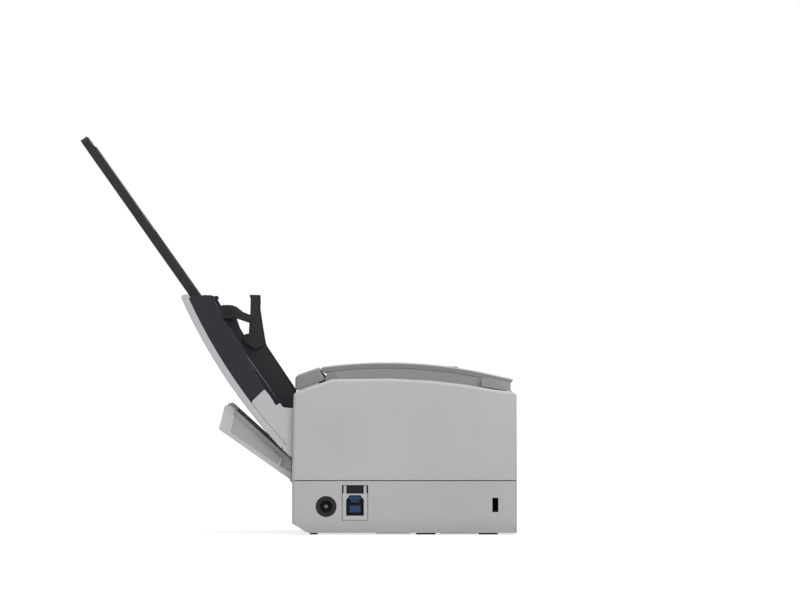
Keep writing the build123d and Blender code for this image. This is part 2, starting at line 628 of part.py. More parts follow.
def board(x_low, x_high, length, top):
    """A straight board on the lid's slope, hanging down from some way above the lid's top."""
    front = [along(BOARD_TOP, top, BOARD_THICK), along(BOARD_TOP, top - length, BOARD_THICK)]
    outline = [along(BOARD_TOP, top - length), along(BOARD_TOP, top)] + front
    return prism(outline, x_low, x_high)


def extension_frame():
    half = FRAME_WIDTH / 2
    stage = BOARD_VISIBLE / 2
    outer = board(-half, half, FRAME_LENGTH, stage)
    inner_half = half - FRAME_LEG
    opening = board(-inner_half, inner_half, FRAME_LENGTH - 4.0, stage + 1)
    return outer - opening


def extension_slider():
    half = FRAME_WIDTH / 2 - FRAME_LEG - LEG_GAP
    slider = board(-half, half, SLIDER_LENGTH - 2.0, BOARD_VISIBLE)
    tip = [
        along(BOARD_TOP, BOARD_VISIBLE - 6, BOARD_THICK - 0.5),
        along(BOARD_TOP, BOARD_VISIBLE + 1, BOARD_THICK - 0.5),
        along(BOARD_TOP, BOARD_VISIBLE + 1, BOARD_THICK + 1),
        along(BOARD_TOP, BOARD_VISIBLE - 6, BOARD_THICK + 1),
    ]
    slider -= prism(tip, -half - 1, half + 1)
    thin = BOARD_THICK - 0.5
    corners = slider.edges().filter_by(lambda e: abs(e.length - thin) < 0.01).group_by(Axis.Z)[-1]
    return fillet(corners, 6.0)


def lid_arm():
    """The right lid arm, from the skin's side down to the hinge."""
    y, z = LID_AXIS
    inner = [skin_inner(level) for level in (43.0, 47.0, 52.0, 57.0, 61.0)]
    hub = circle_points(LID_AXIS, 7.0, 80, 250, 12)
    outline = inner + [(71.2, 62.4)] + ARM_EDGE + hub + ARM_FOOT
    arm = prism(outline, LID_HALF - ARM_THICK, LID_HALF)
    return arm - rod(LID_AXIS, PIN_RADIUS + RUN_GAP, LID_HALF - ARM_THICK - 1, LID_HALF + 1)


# Rear door


def rear_door():
    """The door: a shallow trough whose middle stops short, so that it swings in under the pod."""
    half = DOOR_WIDTH / 2
    notch = FRAME_OUTER + 1.0
    reach = math.dist(POD_UNDER[0], DOOR_AXIS) - DOOR_POD_GAP
    beyond = prism(DOOR_OUTLINE, -notch, notch) - rod(DOOR_AXIS, reach, -notch - 1, notch + 1)
    inside = prism(DOOR_INSIDE, -half + DOOR_WALL, half - DOOR_WALL)
    middle = block(-notch - DOOR_WALL, notch + DOOR_WALL, 0, 120, 0, 90)
    shell = prism(DOOR_OUTLINE, -half, half) - beyond - (inside - middle)
    shell -= inside & rod(DOOR_AXIS, reach - DOOR_WALL, -notch - DOOR_WALL, notch + DOOR_WALL)
    for x in (-half, half - DOOR_WALL):
        shell += rod(DOOR_AXIS, DOOR_HUB, x, x + DOOR_WALL)
    recess = prism(DOOR_RECESS, half - DOOR_RECESS_DEPTH, half + 1)
    shell -= recess + mirrored(recess)
    shell -= block(-half + DOOR_WALL + 0.5, half - DOOR_WALL - 0.5, 49, 53.2, 20, 27.4)
    return shell - rod(DOOR_AXIS, DOOR_PIN + RUN_GAP, -half - 1, half + 1)


def door_liner():
    half = DOOR_WIDTH / 2 - DOOR_WALL - 0.1
    (ya, za), (yb, zb) = DOOR_INSIDE[1:3]
    y1, y2 = LINER_Y
    z1, z2 = [za + (zb - za) * (y - ya) / (yb - ya) + LINER_THICK + LINER_GAP for y in LINER_Y]
    outline = [(y1, z1 - LINER_THICK), (y2, z2 - LINER_THICK), (y2, z2), (y1, z1)]
    side = prism(LINER_SIDE, half - LINER_SIDE_THICK, half)
    liner = prism(outline, -half, half) + side + mirrored(side)
    for i in range(-5, 6):
        x = i * 20.0
        ridge = [(y1 + 2, z1 + 1.0), (y2 - 2, z2 - 0.6), (y2 - 2, z2 - 1.0), (y1 + 2, z1 - 0.2)]
        liner += prism(ridge, x - 0.8, x + 0.8)
    return liner


def door_pins():
    half = DOOR_WIDTH / 2
    pin = rod(DOOR_AXIS, DOOR_PIN, half - DOOR_WALL, half + 3.8)
    return [pin, mirrored(pin)]


# Paper path


def pod_under(y):
    """The height of the pod's underside."""
    (y1, z1), (y2, z2) = POD_UNDER
    return z1 + (z2 - z1) * (y - y1) / (y2 - y1)


def exit_bend(radius_change, end):
    """The exit bend, some way below or above the line of the sheet."""
    centre = (16.4, TOP_RUN_Z + 30.0)
    return circle_points(centre, 30.0 - radius_change, -90, end, 6)


def rear_pod():
    """The fixed cover behind the exit slit."""
    outline = [POD_UNDER[1], (37.9, 74.0), (40.3, 77.2), (40.9, 77.4), (50.2, 74.1), (51.1, 73.2), POD_UNDER[0]]
    pod = prism(outline, -BLOCK_HALF, BLOCK_HALF)
    hollow = [(39.6, 72.9), (41.3, 75.3), (49.3, 72.4), (49.3, 69.5)]
    return pod - prism(hollow, -BLOCK_HALF + POD_WALL, BLOCK_HALF - POD_WALL)


def inner_guide():
    """The core that the sheet turns round, with bays for the rollers and the upper sensor."""
    cy, cz = TURN_CENTRE
    radius = TURN_RADIUS - PATH_GAP
    turn = circle_points(TURN_CENTRE, radius, 270, 90, 19)
    top = [(6.0, cz + radius)] + exit_bend(-PATH_GAP, -54) + [POD_UNDER[1]]
    rear = [(40.0, pod_under(40.0)), (40.0, 42.0), (38.0, 33.0), (33.0, cz - radius)]
    core = prism(turn + top + rear, -BLOCK_HALF, BLOCK_HALF)
    inside = circle_points(TURN_CENTRE, radius - WALL, 262, 98, 15)
    inside += [(0.0, cz + radius - WALL), (24.0, cz + radius - WALL + 0.5), (35.5, 68.5)]
    inside += [(37.6, 66.0), (37.6, 44.0), (36.0, 35.5), (32.0, cz - radius + WALL)]
    hollow = prism(inside, -BLOCK_HALF + WALL, BLOCK_HALF - WALL)
    core -= hollow
    cover_gap = 1.0
    for y, z, r in (FEED, PINCH_REAR, PINCH_FRONT, EXIT):
        core -= rod((y, z), r + cover_gap, -ROLLER_HALF - 1, ROLLER_HALF + 1)
        core -= rod((y, z), SHAFT_RADIUS + 0.5, -BLOCK_HALF - 1, BLOCK_HALF + 1)
    low_y, high_y = SENSOR_Y
    bay = SENSOR_HALF + 0.4
    return core - block(-bay, bay, low_y - 0.3, high_y + 0.3, 20, UPPER_SENSOR_TOP)


def outer_guide():
    """The fixed outer wall of the turn at the front."""
    radius = TURN_RADIUS + PATH_GAP
    inner = circle_points(TURN_CENTRE, radius, 236, 116, 13)
    outer = circle_points(TURN_CENTRE, radius + 2.0, 116, 236, 13)
    guide = prism(inner + outer, -BLOCK_HALF, BLOCK_HALF)
    for x in (-2 * RIB_STEP, -RIB_STEP, 0, RIB_STEP, 2 * RIB_STEP):
        rib = [(-48.8, 32.0), (-42.3, 32.0), (-42.3, 58.0), (-48.8, 58.0)]
        guide += prism(rib, x - 1, x + 1) - rod(TURN_CENTRE, radius + 1.0, x - 2, x + 2)
    return guide


def lower_guide():
    """The lower side of the path, from the front slot to the rear door."""
    top = PATH_Z - PATH_GAP + 0.2
    outline = [(-49.3, top - 0.4), (-46.0, top), (33.0, top), (40.0, top + 5.5), (41.0, top + 4.0)]
    outline += [(41.0, top - 1.0), (49.0, top - 0.3), (49.0, top - 2.2), (41.0, top - 3.0), (-49.3, top - 3.0)]
    guide = prism(outline, -BLOCK_HALF, BLOCK_HALF)
    for y, z, r in (FEED, SEPARATION, TRANSPORT_REAR, TRANSPORT_FRONT):
        guide -= rod((y, z), r + 1.0, -ROLLER_HALF - 1, ROLLER_HALF + 1)
    low_y, high_y = SENSOR_Y
    return guide - block(-SENSOR_HALF - 0.4, SENSOR_HALF + 0.4, low_y - 0.3, high_y + 0.3, 10, 40)


def sensor_pair(glass_z, upward):
    """A sensor housing and its glass, which faces the sheet at glass_z."""
    low_y, high_y = SENSOR_Y
    step = 1 if upward else -1
    far = glass_z - step * SENSOR_HEIGHT
    near = glass_z - step * GLASS_THICK
    case = block(-SENSOR_HALF, SENSOR_HALF, low_y, high_y, min(far, near), max(far, near))
    deep = near - step * 7
    bay = block(-SENSOR_HALF + 3, SENSOR_HALF - 3, low_y + 3, high_y - 3, min(near, deep), max(near, deep))
    glass = block(-SENSOR_HALF, SENSOR_HALF, low_y, high_y, min(near, glass_z), max(near, glass_z))
    return case - bay, glass


# Rollers and drive


def roller(place, half, sleeves, shaft_radius, shaft_low, shaft_high):
    """A steel shaft with rubber sleeves, as one turning piece and its sleeves."""
    centre = (place[0], place[1])
    shaft = rod(centre, shaft_radius, shaft_low, shaft_high)
    rubber = []
    for x in sleeves:
        sleeve = rod(centre, place[2], x - half, x + half)
        rubber.append(sleeve - rod(centre, shaft_radius, x - half - 1, x + half + 1))
    return shaft, rubber


def gear(centre, radius, x_low, bore):
    """A spur gear; its teeth end at the given radius."""
    teeth = max(12, round(radius * 2.6))
    root = radius - 0.9
    points = []
    for i in range(teeth):
        turn = 360.0 * i / teeth
        pitch = 360.0 / teeth
        for share, reach in ((0.0, root), (0.26, root), (0.40, radius), (0.72, radius), (0.86, root)):
            a = math.radians(turn + pitch * share)
            points.append((centre[0] + reach * math.cos(a), centre[1] + reach * math.sin(a)))
    wheel = prism(points, x_low, x_low + GEAR_WIDTH)
    return wheel - rod(centre, bore, x_low - 1, x_low + GEAR_WIDTH + 1)


def step_gear_places():
    """The idler gears between the driven ones."""
    rear = TRANSPORT_REAR[:2]
    front = TRANSPORT_FRONT[:2]
    span = math.dist(rear, front)
    middle = ((rear[0] + front[0]) / 2, (rear[1] + front[1]) / 2)
    middle_radius = span / 2 - GEAR_RADIUS - GEAR_TEETH_GAP
    first = (rear[0] - 2.6, rear[1] + 13.05)
    second = meeting(first, 2 * STEP_GEAR + GEAR_TEETH_GAP, FEED[:2], STEP_GEAR + FEED_GEAR + GEAR_TEETH_GAP)
    between = math.dist(FEED[:2], EXIT[:2])
    last_radius = (between - FEED_GEAR - EXIT_GEAR) / 2 - GEAR_TEETH_GAP
    share = (FEED_GEAR + last_radius + GEAR_TEETH_GAP) / between
    last = (FEED[0] + (EXIT[0] - FEED[0]) * share, FEED[1] + (EXIT[1] - FEED[1]) * share)
    return [(middle, middle_radius), (first, STEP_GEAR), (second, STEP_GEAR), (last, last_radius)]


def step_gear_pins():
    ends = [GEAR_X + GEAR_WIDTH + 0.3] * 3 + [SECOND_GEAR_X + GEAR_WIDTH + 0.8]
    return [rod(place[0], STEP_PIN, FRAME_OUTER, end) for place, end in zip(step_gear_places(), ends)]


def motor():
    body = rod(PINION_PLACE, MOTOR_RADIUS, MOTOR_FACE + 1.2, MOTOR_FACE + 1.2 + MOTOR_LENGTH)
    ends = body.edges().filter_by(GeomType.CIRCLE)
    body = fillet(ends, 1.2)
    return body + rod(PINION_PLACE, 4.0, MOTOR_FACE, MOTOR_FACE + 1.2)


def motor_bracket():
    y, z = PINION_PLACE
    low = FOOT_PROUD + BASE_FLOOR
    plate = block(MOTOR_FACE, MOTOR_FACE + 1.2, y - 17, y + 17, low, z + 16)
    foot = block(MOTOR_FACE + 1.2, MOTOR_FACE + 9, y - 17, y + 17, low, low + 1.2)
    return plate + foot - rod(PINION_PLACE, 4.1, MOTOR_FACE - 1, MOTOR_FACE + 3)


def drive_pinion():
    wheel = gear(PINION_PLACE, PINION_RADIUS, GEAR_X, 0.8)
    return wheel + rod(PINION_PLACE, 1.2, GEAR_X + GEAR_WIDTH, MOTOR_FACE - 0.2)


# Top cover


def under_plate():
    """Points along the underside of the curved top plate, from the rear to the front."""
    a, b, c = TOP_ARC[0], TOP_ARC[1], TOP_ARC[2]
    centre = arc_centre(a, b, c)
    radius = math.dist(a, centre) - TOP_PLATE
    start = math.degrees(math.atan2(a[1] - centre[1], a[0] - centre[0]))
    end = math.degrees(math.atan2(c[1] - centre[1], c[0] - centre[0]))
    return circle_points(centre, radius, start, end, 12)


def top_plate():
    half = TOP_PLATE_WIDTH / 2
    a, b, c = TOP_ARC[0], TOP_ARC[1], TOP_ARC[2]
    plate = curved_strip(a, b, c, TOP_PLATE, -half, half)
    last = under_plate()[-1]
    tip = TOP_ARC[3]
    nose = [(c[0] + 1.0, c[1] - 0.5), c, tip, (tip[0] + 1.2, tip[1] - 1.5), last, (last[0] + 1.0, last[1] + 0.4)]
    plate += prism(nose, -half, half)
    for x in BUTTON_X:
        plate -= Pos(x, BUTTON_Y, 60) * Cylinder(BUTTON_RADIUS + 0.2, 60)
    window = Pos(LAMP_X, BUTTON_Y, 60) * Box(LAMP_SIZE[0] + 0.2, LAMP_SIZE[1] + 0.2, 60)
    return plate - window


def upper_guide():
    """The opening half of the path: the grey block under the top plate."""
    under = [(37.6, 75.3)] + under_plate()[1:] + [(TOP_FRONT, 70.4)]
    floor = [(TOP_FRONT, 67.3), (-38.0, 67.3), (-24.0, COVER_FLOOR - 0.3), (6.0, COVER_FLOOR)]
    bend = exit_bend(PATH_GAP, -49)
    cover = prism(under + floor + bend, -BLOCK_HALF, BLOCK_HALF)
    ceiling = [(30.0, 71.6), (30.0, 74.0), (4.0, 75.4), (-20.0, 74.2), (-34.0, 72.4), (-46.0, 70.6)]
    ceiling += [(-46.0, 69.4), (-24.0, COVER_FLOOR + UPPER_WALL), (14.0, COVER_FLOOR + UPPER_WALL)]
    cover -= prism(ceiling, -BLOCK_HALF + UPPER_WALL, BLOCK_HALF - UPPER_WALL)
    cover -= rod(PINCH_EXIT[:2], PINCH_EXIT[2] + 0.8, -ROLLER_HALF - 1, ROLLER_HALF + 1)
    cover -= rod(PINCH_EXIT[:2], THIN_SHAFT + RUN_GAP, -BLOCK_HALF + 0.8, BLOCK_HALF - 0.8)
    for x in BUTTON_X:
        cover -= Pos(x, BUTTON_Y, 75) * Cylinder(BUTTON_RADIUS + 0.6, 8)
        cover -= Pos(x, BUTTON_Y, 71) * Cylinder(1.6, 12)
    cover -= Pos(LAMP_X, BUTTON_Y, 76) * Box(LAMP_SIZE[0] + 0.2, LAMP_SIZE[1] + 0.2, 8)
    cheek_inner = FRAME_OUTER + 0.9
    cheek = prism(HINGE_CHEEK, cheek_inner, cheek_inner + HINGE_CHEEK_THICK)
    cheek += block(BLOCK_HALF - 2, cheek_inner + 0.1, -40.0, -36.0, 71.4, 72.2)
    cheek += rod(TOP_AXIS, TOP_PIN, BLOCK_HALF - 2, cheek_inner + 0.1)
    return cover + cheek + mirrored(cheek)


def push_button(x):
    """A round button, its crown level with the plate and its stem in the cover."""
    surface = plate_height(BUTTON_Y)
    cap = upright(x, BUTTON_Y, surface - BUTTON_HEIGHT, surface, BUTTON_RADIUS)
    return fillet(cap.edges().group_by(Axis.Z)[-1], 0.5)


def plate_height(y):
    centre = arc_centre(TOP_ARC[0], TOP_ARC[1], TOP_ARC[2])
    radius = math.dist(TOP_ARC[0], centre)
    return centre[1] + math.sqrt(radius ** 2 - (y - centre[0]) ** 2)


def lamp_window():
    surface = plate_height(BUTTON_Y)
    lens = Pos(LAMP_X, BUTTON_Y, surface - 2.6) * Box(LAMP_SIZE[0], LAMP_SIZE[1], 4.6)
    return lens - block(LAMP_X - 9, LAMP_X + 9, BUTTON_Y - 9, BUTTON_Y + 9, surface - 0.5, surface + 9)


# Ports and electronics


def main_board():
    board_slab = block(BOARD_EDGE, BOARD_INNER, -34, 46, BOARD_Z - BOARD_THICKNESS - 0.3, BOARD_Z - 0.3)
    for x, y in ((BOARD_EDGE + 2.6, -27), (BOARD_EDGE + 4.6, 2)):
        board_slab += block(x, x + 9, y, y + 12, BOARD_Z - 0.3, BOARD_Z + 1.2)
    return board_slab


def board_posts():
    top = BOARD_Z - BOARD_THICKNESS - 0.3
    low = FOOT_PROUD + BASE_FLOOR
    places = [(x, y) for x in (BOARD_EDGE + 1.1, BOARD_EDGE + 11.6) for y in (-32, -8, 40)]
    return [block(x, x + 4, y, y + 4, low, top) for x, y in places]


def dc_jack():
    case = rod(JACK, JACK_OUTER, -HALF_WIDTH + 0.5, -HALF_WIDTH + WALL + 0.9)
    body_x = -HALF_WIDTH + WALL + 0.3
    case += block(body_x, -HALF_WIDTH + 14, JACK[0] - 5.2, JACK[0] + 5.2, BOARD_Z - 0.3, JACK[1] + 5.2)
    case -= rod(JACK, JACK_BORE, -HALF_WIDTH, -HALF_WIDTH + 0.5 + JACK_DEPTH)
    return case


def jack_pin():
    pin = rod(JACK, JACK_PIN, -HALF_WIDTH + 2.0, -HALF_WIDTH + 0.5 + JACK_DEPTH)
    return pin


def usb_socket():
    """The recessed bezel and the metal-framed opening, with chamfered top corners."""
    x = -HALF_WIDTH + 0.9
    low, high = USB_MOUTH_Z
    y = USB_CENTRE[0]
    half = USB_WIDTH / 2
    mouth = [(y - half, low), (y + half, low), (y + half, high - 2.4), (y + half - 1.8, high)]
    mouth += [(y - half + 1.8, high), (y - half, high - 2.4)]
    edge = half + USB_SHELL
    outer = [(y - edge, low - USB_SHELL), (y + edge, low - USB_SHELL), (y + edge, high + USB_SHELL)]
    outer += [(y - edge, high + USB_SHELL)]
    shell = prism(outer, x, x + 16.0)
    return shell - prism(mouth, x - 1, x + 14.5)


def usb_tongue():
    """The two insulating blocks inside the socket."""
    x = -HALF_WIDTH + 2.4
    y = USB_CENTRE[0]
    low = USB_MOUTH_Z[0]
    lower = block(x, -HALF_WIDTH + 0.9 + 14.5, y - 2.6, y + 2.6, low + 1.6, low + 4.8)
    upper = block(x + 0.4, -HALF_WIDTH + 0.9 + 14.5, y - 2.0, y + 2.0, low + 6.4, low + 8.0)
    return [lower, upper]


def usb_bezel():
    """The grey surround that fills the recess round the socket."""
    x = -HALF_WIDTH + 0.7
    low, high = USB_RECESS[1], USB_RECESS[3]
    plate = block(x, x + 1.6, low[0] + 0.2, high[0] - 0.2, low[1] + 0.2, high[1] - 0.2)
    y = USB_CENTRE[0]
    half = USB_WIDTH / 2 + USB_SHELL + 0.1
    shell_low, shell_high = USB_MOUTH_Z[0] - USB_SHELL - 0.1, USB_MOUTH_Z[1] + USB_SHELL + 0.1
    plate -= block(x - 1, x + 3, y - half, y + half, shell_low, shell_high)
    plate -= block(x - 1, x + 3, low[0] + 1.2, high[0] - 1.2, 19.9, 22.3)
    for side in (low[0] + 0.9, high[0] - 1.5):
        plate -= block(x - 1, x + 3, side, side + 0.6, 16.4, 19.4)
    back = block(x + 1.6, x + 3.2, low[0] + 0.2, high[0] - 0.2, 19.4, high[1] - 0.2)
    return plate + back


def lock_plate():
    x = -HALF_WIDTH + WALL
    y, z = LOCK_CENTRE
    plate = block(x, x + LOCK_PLATE_THICK, y - 5, y + 5, z - 7.5, z + 7.5)
    half_y, half_z = LOCK_SIZE[0] / 2, LOCK_SIZE[1] / 2
    return plate - block(x - 1, x + 3, y - half_y, y + half_y, z - half_z, z + half_z)


# All the pieces, written one node at a time

base = base_casing()
for post in board_posts():
    base += post
save("base_casing", base)
save("rubber_feet", *rubber_feet())
save("casing_screws", *casing_screws())
save("side_cover_right", side_cover())
save("side_cover_left", mirrored(side_cover()))
save("side_wells", side_well(), mirrored(side_well()))
save("front_cover", front_cover())
save("chassis_plate", chassis_plate())
right_frame = frame_plate() + frame_flange()
save("frame_plate_left", mirrored(right_frame))
for pin in step_gear_pins():
    right_frame += pin
save("frame_plate_right", right_frame)
save("shaft_bushes", *shaft_bushes())
save("hinge_brackets", hinge_bracket(), mirrored(hinge_bracket()))
save("hinge_pins", hinge_pin(), mirrored(hinge_pin()), *door_pins())

save("lid_skin", lid_skin())
save("chute_tray", chute_tray())
save("lid_arm_right", lid_arm())
save("lid_arm_left", mirrored(lid_arm()))
save("extension_frame", extension_frame())
save("extension_slider", extension_slider())
save("side_guide_right", side_guide(rack_slots()[0][0]))
save("side_guide_left", mirrored(side_guide(rack_slots()[1][0])))
save("guide_pinion", guide_pinion())
save("stacker_post_right", stacker_post())
save("stacker_post_left", mirrored(stacker_post()))
save("stacker_brace_right", stacker_brace())
save("stacker_brace_left", mirrored(stacker_brace()))

save("rear_door", rear_door())
save("door_liner", door_liner())

save("rear_pod", rear_pod())
save("inner_guide", inner_guide())
save("outer_guide", outer_guide())
save("lower_guide", lower_guide())
upper_case, upper_glass = sensor_pair(PATH_Z + 0.6, False)
lower_case, lower_glass = sensor_pair(PATH_Z - 0.8, True)
save("sensor_housings", upper_case, lower_case)
save("sensor_glasses", upper_glass, lower_glass)

WIDE_SLEEVES = (-72.0, -24.0, 24.0, 72.0)
DRIVEN_ROLLERS = {
    "feed_roller": (FEED, 18.0, (-26.0, 26.0), FEED_GEAR, (GEAR_X, SECOND_GEAR_X)),
    "transport_roller_rear": (TRANSPORT_REAR, 14.0, WIDE_SLEEVES, GEAR_RADIUS, (GEAR_X,)),
    "transport_roller_front": (TRANSPORT_FRONT, 14.0, WIDE_SLEEVES, GEAR_RADIUS, (GEAR_X,)),
    "exit_roller": (EXIT, 10.0, WIDE_SLEEVES, EXIT_GEAR, (SECOND_GEAR_X,)),
}
for name, (place, half, sleeves, gear_radius, gear_planes) in DRIVEN_ROLLERS.items():
    shaft_end = gear_planes[-1] + GEAR_WIDTH + 0.4
    shaft, rubber = roller(place, half, sleeves, SHAFT_RADIUS, -FRAME_OUTER - 1.4, shaft_end)
    gears = [gear(place[:2], gear_radius, x, SHAFT_RADIUS) for x in gear_planes]
    save(name, shaft, *rubber, *gears)
shaft, rubber = roller(SEPARATION, 18.0, (0.0,), SHAFT_RADIUS, -FRAME_OUTER - 1.4, FRAME_OUTER + 1.4)
save("separation_roller", shaft, *rubber)
for name, place in (("pinch_roller_rear", PINCH_REAR), ("pinch_roller_front", PINCH_FRONT)):
    shaft, rubber = roller(place, 12.0, WIDE_SLEEVES, THIN_SHAFT, -FRAME_OUTER, FRAME_OUTER)
    save(name, shaft, *rubber)
shaft, rubber = roller(PINCH_EXIT, 8.0, WIDE_SLEEVES, THIN_SHAFT, -BLOCK_HALF + 1, BLOCK_HALF - 1)
save("pinch_roller_exit", shaft, *rubber)
for index, (centre, radius) in enumerate(step_gear_places(), 1):
    plane = SECOND_GEAR_X if index == 4 else GEAR_X
    save(f"step_gear_{index}", gear(centre, radius, plane, STEP_PIN + RUN_GAP))
save("drive_motor", motor())
save("motor_bracket", motor_bracket())
save("drive_pinion", drive_pinion())

save("top_plate", top_plate())
save("upper_guide", upper_guide())
save("power_button", push_button(BUTTON_X[0]))
save("scan_button", push_button(BUTTON_X[1]))
save("lamp_window", lamp_window())

save("main_board", main_board())
save("dc_jack", dc_jack(), jack_pin())
save("usb_socket", usb_socket())
save("usb_tongue", *usb_tongue())
save("usb_bezel", usb_bezel())
save("lock_plate", lock_plate())
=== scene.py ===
import json
import math

import bmesh
import bpy
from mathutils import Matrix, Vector


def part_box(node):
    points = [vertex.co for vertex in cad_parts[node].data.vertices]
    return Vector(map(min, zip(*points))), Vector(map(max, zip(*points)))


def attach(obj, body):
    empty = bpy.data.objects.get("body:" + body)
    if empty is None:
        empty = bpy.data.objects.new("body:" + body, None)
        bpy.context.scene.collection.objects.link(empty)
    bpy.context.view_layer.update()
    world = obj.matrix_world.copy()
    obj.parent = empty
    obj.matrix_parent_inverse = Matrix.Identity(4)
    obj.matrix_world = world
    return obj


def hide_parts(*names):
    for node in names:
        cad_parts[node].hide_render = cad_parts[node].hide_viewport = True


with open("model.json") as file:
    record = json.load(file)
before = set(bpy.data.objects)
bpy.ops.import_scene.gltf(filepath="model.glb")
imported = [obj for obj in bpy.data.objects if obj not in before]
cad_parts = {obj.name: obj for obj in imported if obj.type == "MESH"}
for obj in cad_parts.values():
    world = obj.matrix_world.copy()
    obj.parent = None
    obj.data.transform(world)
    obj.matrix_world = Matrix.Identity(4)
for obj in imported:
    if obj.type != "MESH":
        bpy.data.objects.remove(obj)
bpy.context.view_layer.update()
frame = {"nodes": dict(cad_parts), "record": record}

MM = 0.001
nodes = frame["nodes"]

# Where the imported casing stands: the model's origin is under the middle of the open scanner.
# The side cover is as deep as the casing, and its outer face is the one that the viewer sees.
CASE_LOW, CASE_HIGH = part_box("side_cover_left")
CASE_MIDDLE_Y = (CASE_LOW.y + CASE_HIGH.y) / 2
CASE_SIDE_X = CASE_LOW.x

# The chute's line as it stands open, in millimetres: its top, from the casing's middle at floor level, its
# slope, and how far its floor stands in front of that line
CHUTE_TOP = (100.75, 110.95)
CHUTE_SLOPE = math.radians(54.8)
CHUTE_FLOOR_DEPTH = 6.0


def at(y_mm, z_mm):
    """A place in metres from millimetres behind the casing's middle and above the floor."""
    return (CASE_MIDDLE_Y + y_mm * MM, z_mm * MM)


def on_chute(up_mm, depth_mm):
    """A place up the chute from its top, and in front of the lid's boards."""
    run, rise = math.cos(CHUTE_SLOPE), math.sin(CHUTE_SLOPE)
    return at(CHUTE_TOP[0] + run * up_mm - rise * depth_mm, CHUTE_TOP[1] + rise * up_mm + run * depth_mm)


# The photograph: a side view from the left, as good as square on
PHOTO_WIDTH = 800
PHOTO_HEIGHT = 600
MM_PER_PIXEL = 0.4667
CASE_MIDDLE_PX = 404.5
FLOOR_PX = 534.6
# In metres: far off, as the photograph shows next to no perspective, but near enough for the other views
CAMERA_DISTANCE = 12.5
SENSOR_WIDTH = 36.0
CAMERA_REACH = 60.0


def camera():
    """The viewer stands to the left of the scanner, level with the middle of the picture."""
    data = bpy.data.cameras.new("camera")
    data.sensor_width = SENSOR_WIDTH
    data.lens = SENSOR_WIDTH * CAMERA_DISTANCE / (PHOTO_WIDTH * MM_PER_PIXEL * MM)
    data.clip_end = CAMERA_REACH
    viewer = bpy.data.objects.new("camera", data)
    bpy.context.scene.collection.objects.link(viewer)
    across = (CASE_MIDDLE_PX - PHOTO_WIDTH / 2) * MM_PER_PIXEL * MM
    up = (FLOOR_PX - PHOTO_HEIGHT / 2) * MM_PER_PIXEL * MM
    viewer.location = (CASE_SIDE_X - CAMERA_DISTANCE, CASE_MIDDLE_Y + across, up)
    viewer.rotation_euler = (math.radians(90), 0, math.radians(-90))
    bpy.context.scene.camera = viewer


# Colours and nodes


def linear(hex_colour):
    """An sRGB hex colour as linear red, green, blue and alpha."""
    parts = [int(hex_colour[i:i + 2], 16) / 255 for i in (1, 3, 5)]
    return tuple(c / 12.92 if c <= 0.04045 else ((c + 0.055) / 1.055) ** 2.4 for c in parts) + (1.0,)


def add(tree, kind, inputs=None, **settings):
    """A node with its settings; each input takes a value or another node's output."""
    node = tree.nodes.new(kind)
    for key, value in settings.items():
        setattr(node, key, value)
    for key, value in (inputs or {}).items():
        if isinstance(value, bpy.types.NodeSocket):
            tree.links.new(value, node.inputs[key])
        else:
            node.inputs[key].default_value = value
    return node


def blank_material(name):
    """A new material with a bare node tree, and its output node."""
    material = bpy.data.materials.new(name)
    material.use_nodes = True
    tree = material.node_tree
    tree.nodes.clear()
    output = tree.nodes.new("ShaderNodeOutputMaterial")
    return material, tree, output


def per_metre(size_mm):
    """The texture scale at which a pattern repeats about every size_mm."""
    return 1.0 / (size_mm * MM)


# A moulding's tone varies in patches about this wide
PATCH_MM = 45.0
# Nearly all of a noise texture's values lie between these two
NOISE_LOW, NOISE_HIGH = 0.3, 0.7
PLASTIC_IOR = 1.5
GRAIN_STRENGTH = 0.6
# How much smoother and rougher than its own roughness a finish gets, in its pebbles or its lines
PLASTIC_SMOOTHER, PLASTIC_ROUGHER = 0.05, 0.06
METAL_SMOOTHER, METAL_ROUGHER = 0.06, 0.08
# Rolling lines in sheet metal: how strong and high they are, and how far they are drawn out
LINE_STRENGTH = 0.5
LINE_HEIGHT_MM = 0.01
LINE_STRETCH = 0.06


def moulded_plastic(name, colour, roughness, grain_mm, grain_height_mm, tone=0.04, gloss_level=0.5):
    """ABS from a spark-eroded mould: an even colour, fine pebbles and a soft sheen.

    With other settings the same nodes give rubber, acetal, acrylic, enamel and glass.
    """
    material, tree, output = blank_material(name)
    place = add(tree, "ShaderNodeTexCoord").outputs["Object"]
    pebbles = add(tree, "ShaderNodeTexVoronoi", {"Vector": place, "Scale": per_metre(grain_mm)},
                  feature="SMOOTH_F1")
    patches = add(tree, "ShaderNodeTexNoise", {"Vector": place, "Scale": per_metre(PATCH_MM), "Detail": 3.0})
    shade = add(tree, "ShaderNodeMapRange", {
        "Value": patches.outputs["Fac"], "From Min": NOISE_LOW, "From Max": NOISE_HIGH,
        "To Min": 1.0 - tone, "To Max": 1.0 + tone})
    base = add(tree, "ShaderNodeVectorMath", {0: linear(colour)[:3], "Scale": shade.outputs["Result"]},
               operation="SCALE")
    gloss = add(tree, "ShaderNodeMapRange", {
        "Value": pebbles.outputs["Distance"], "From Min": 0.0, "From Max": 1.0,
        "To Min": roughness - PLASTIC_SMOOTHER, "To Max": roughness + PLASTIC_ROUGHER})
    bump = add(tree, "ShaderNodeBump", {
        "Height": pebbles.outputs["Distance"], "Distance": grain_height_mm * MM, "Strength": GRAIN_STRENGTH})
    skin = add(tree, "ShaderNodeBsdfPrincipled", {
        "Base Color": base.outputs["Vector"], "Roughness": gloss.outputs["Result"], "IOR": PLASTIC_IOR,
        "Specular IOR Level": gloss_level, "Normal": bump.outputs["Normal"]})
    tree.links.new(skin.outputs["BSDF"], output.inputs["Surface"])
    return material


